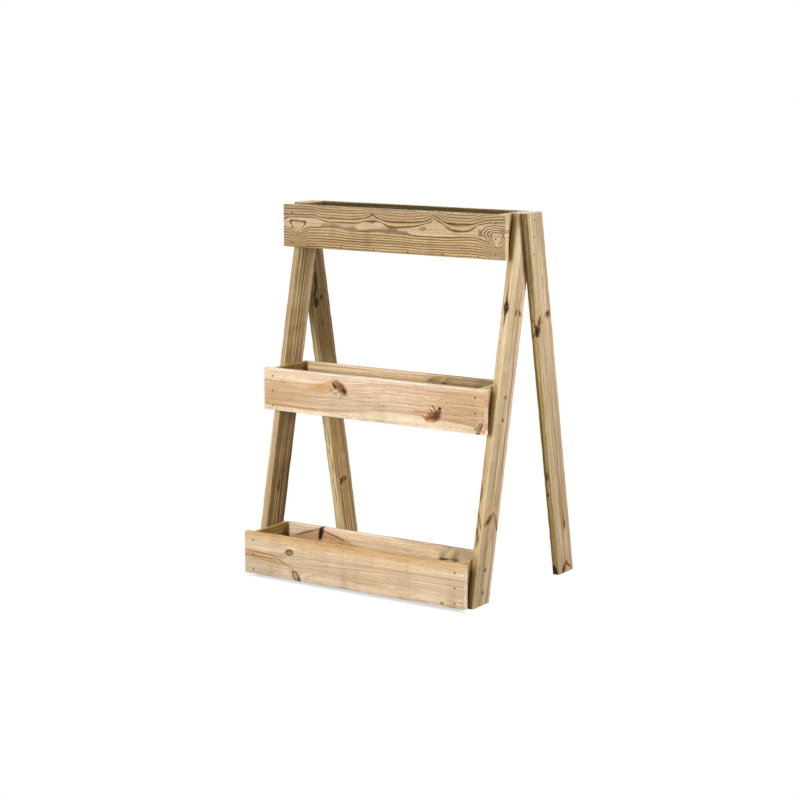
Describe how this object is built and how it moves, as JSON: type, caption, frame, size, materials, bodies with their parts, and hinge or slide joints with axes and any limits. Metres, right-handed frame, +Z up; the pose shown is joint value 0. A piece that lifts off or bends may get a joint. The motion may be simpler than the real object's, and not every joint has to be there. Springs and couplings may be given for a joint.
{
  "type": "vertical planter",
  "caption": "Free-standing A-frame timber planter with long open boxes stepped up raked front legs and rear legs nailed on at the top.",
  "frame": {"origin": "centre of the footprint on the floor", "axes": "+X to the right along the boxes, +Y to the back, +Z up; the boxes' fronts face -Y"},
  "size_m": [0.764, 0.5704, 1.036],
  "materials": {
    "box_timber": "planed, pressure-treated pine",
    "leg_timber": "planed, pressure-treated pine",
    "nail_steel": "dull galvanised, stained dark",
    "screw_steel": "zinc plated"
  },
  "bodies": {
    "root": {"lower_front_board": "box_timber", "lower_back_board": "box_timber", "lower_left_end": "box_timber", "lower_right_end": "box_timber", "lower_front_slat": "box_timber", "lower_back_slat": "box_timber", "middle_front_board": "box_timber", "middle_back_board": "box_timber", "middle_left_end": "box_timber", "middle_right_end": "box_timber", "middle_front_slat": "box_timber", "middle_back_slat": "box_timber", "upper_front_board": "box_timber", "upper_back_board": "box_timber", "upper_left_end": "box_timber", "upper_right_end": "box_timber", "upper_front_slat": "box_timber", "upper_back_slat": "box_timber", "front_left_leg": "leg_timber", "front_right_leg": "leg_timber", "rear_left_leg": "leg_timber", "rear_right_leg": "leg_timber", "lower_box_nails": "nail_steel", "middle_box_nails": "nail_steel", "upper_box_nails": "nail_steel", "rear_leg_nails": "nail_steel", "lower_leg_screws": "screw_steel", "middle_leg_screws": "screw_steel", "upper_leg_screws": "screw_steel"}
  },
  "joints": []
}
